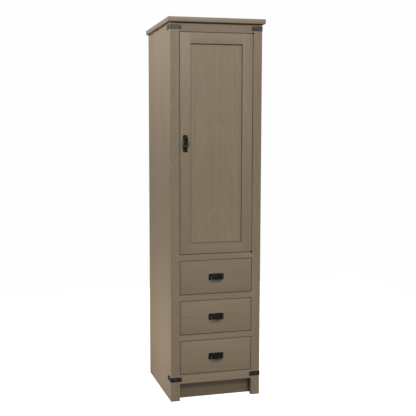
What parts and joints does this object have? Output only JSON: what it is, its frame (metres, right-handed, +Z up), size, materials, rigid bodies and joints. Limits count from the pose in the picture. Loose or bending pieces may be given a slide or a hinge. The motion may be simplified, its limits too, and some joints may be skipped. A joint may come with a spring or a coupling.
{
  "type": "pantry cabinet",
  "caption": "Tall narrow face-frame pantry cabinet: one inset flat-panel door over a stack of inset drawers, bail pulls, iron corner straps, recessed toe board.",
  "frame": {"origin": "on the floor under the middle of the cabinet's overall box, pulls included", "axes": "+Z up, front faces -Y, +X to the viewer's right when facing the front"},
  "size_m": [0.5588, 0.5133, 2.1336],
  "materials": {
    "stained_wood": "grey-brown stain under a satin clear coat, fine straight grain",
    "inside_wood": "same stain, thinner coat",
    "back_plywood": "stained veneered plywood, rotary grain",
    "packer_wood": "bare sawn softwood",
    "drawer_maple": "clear-coated pale maple and birch ply",
    "black_iron": "hammered, blackened and waxed",
    "hinge_iron": "dark patina",
    "zinc_steel": "bright zinc plate",
    "catch_plastic": "moulded, fine texture"
  },
  "bodies": {
    "case": {"top_board": "stained_wood", "side_left": "stained_wood", "side_right": "stained_wood", "sub_top": "inside_wood", "divider_deck": "inside_wood", "bottom_deck": "inside_wood", "toe_kick": "stained_wood", "back_panel": "back_plywood", "wall_rail": "inside_wood", "door_stop": "inside_wood", "stile_left": "stained_wood", "stile_right": "stained_wood", "top_rail": "stained_wood", "mid_rail": "stained_wood", "drawer_rail_lower": "stained_wood", "drawer_rail_upper": "stained_wood", "bottom_rail": "stained_wood", "shelf_lower": "inside_wood", "shelf_middle": "inside_wood", "shelf_upper": "inside_wood", "shelf_pins": "zinc_steel", "corner_brackets": "black_iron", "bracket_nails": "black_iron", "hinge_frame_leaves": "hinge_iron", "door_catch": "catch_plastic", "cabinet_runners": "zinc_steel", "slide_packers": "packer_wood"},
    "door": {"door_stile_left": "stained_wood", "door_stile_right": "stained_wood", "door_rail_top": "stained_wood", "door_rail_bottom": "stained_wood", "door_panel": "stained_wood", "hinge_door_leaves": "hinge_iron", "door_strike": "zinc_steel", "door_pull_plate": "black_iron"},
    "door_bail": {"door_pull_bail": "black_iron"},
    "drawer_1": {"drawer_1_front": "stained_wood", "drawer_1_sides": "drawer_maple", "drawer_1_back": "drawer_maple", "drawer_1_bottom": "drawer_maple", "drawer_1_runners": "zinc_steel", "drawer_1_pull_plate": "black_iron"},
    "drawer_1_mid_slides": {"drawer_1_mid_runners": "zinc_steel"},
    "drawer_1_bail": {"drawer_1_pull_bail": "black_iron"},
    "drawer_2": {"drawer_2_front": "stained_wood", "drawer_2_sides": "drawer_maple", "drawer_2_back": "drawer_maple", "drawer_2_bottom": "drawer_maple", "drawer_2_runners": "zinc_steel", "drawer_2_pull_plate": "black_iron"},
    "drawer_2_mid_slides": {"drawer_2_mid_runners": "zinc_steel"},
    "drawer_2_bail": {"drawer_2_pull_bail": "black_iron"},
    "drawer_3": {"drawer_3_front": "stained_wood", "drawer_3_sides": "drawer_maple", "drawer_3_back": "drawer_maple", "drawer_3_bottom": "drawer_maple", "drawer_3_runners": "zinc_steel", "drawer_3_pull_plate": "black_iron"},
    "drawer_3_mid_slides": {"drawer_3_mid_runners": "zinc_steel"},
    "drawer_3_bail": {"drawer_3_pull_bail": "black_iron"}
  },
  "joints": [
    {"name": "door_hinge", "type": "hinge", "parent": "case", "child": "door", "pos_m": [0.2123, -0.23947, 1.44685], "axis": [0, 0, 1], "range_deg": [0, 170]},
    {"name": "door_bail_swing", "type": "hinge", "parent": "door", "child": "door_bail", "pos_m": [-0.1806, -0.24497, 1.48235], "axis": [-1, 0, 0], "range_deg": [0, 150]},
    {"name": "drawer_1_slide", "type": "slide", "parent": "case", "child": "drawer_1", "axis": [0, -1, 0], "range_m": [0, 0.4]},
    {"name": "drawer_1_mid_slide", "type": "slide", "parent": "case", "child": "drawer_1_mid_slides", "axis": [0, -1, 0], "range_m": [0, 0.2]},
    {"name": "drawer_1_bail_swing", "type": "hinge", "parent": "drawer_1", "child": "drawer_1_bail", "pos_m": [0, -0.24497, 0.71425], "axis": [-1, 0, 0], "range_deg": [0, 150]},
    {"name": "drawer_2_slide", "type": "slide", "parent": "case", "child": "drawer_2", "axis": [0, -1, 0], "range_m": [0, 0.4]},
    {"name": "drawer_2_mid_slide", "type": "slide", "parent": "case", "child": "drawer_2_mid_slides", "axis": [0, -1, 0], "range_m": [0, 0.2]},
    {"name": "drawer_2_bail_swing", "type": "hinge", "parent": "drawer_2", "child": "drawer_2_bail", "pos_m": [0, -0.24497, 0.48575], "axis": [-1, 0, 0], "range_deg": [0, 150]},
    {"name": "drawer_3_slide", "type": "slide", "parent": "case", "child": "drawer_3", "axis": [0, -1, 0], "range_m": [0, 0.4]},
    {"name": "drawer_3_mid_slide", "type": "slide", "parent": "case", "child": "drawer_3_mid_slides", "axis": [0, -1, 0], "range_m": [0, 0.2]},
    {"name": "drawer_3_bail_swing", "type": "hinge", "parent": "drawer_3", "child": "drawer_3_bail", "pos_m": [0, -0.24497, 0.25725], "axis": [-1, 0, 0], "range_deg": [0, 150]}
  ],
  "couplings": [
    {"joint": "drawer_1_mid_slide", "follows": "drawer_1_slide", "ratio": 0.5},
    {"joint": "drawer_2_mid_slide", "follows": "drawer_2_slide", "ratio": 0.5},
    {"joint": "drawer_3_mid_slide", "follows": "drawer_3_slide", "ratio": 0.5}
  ]
}
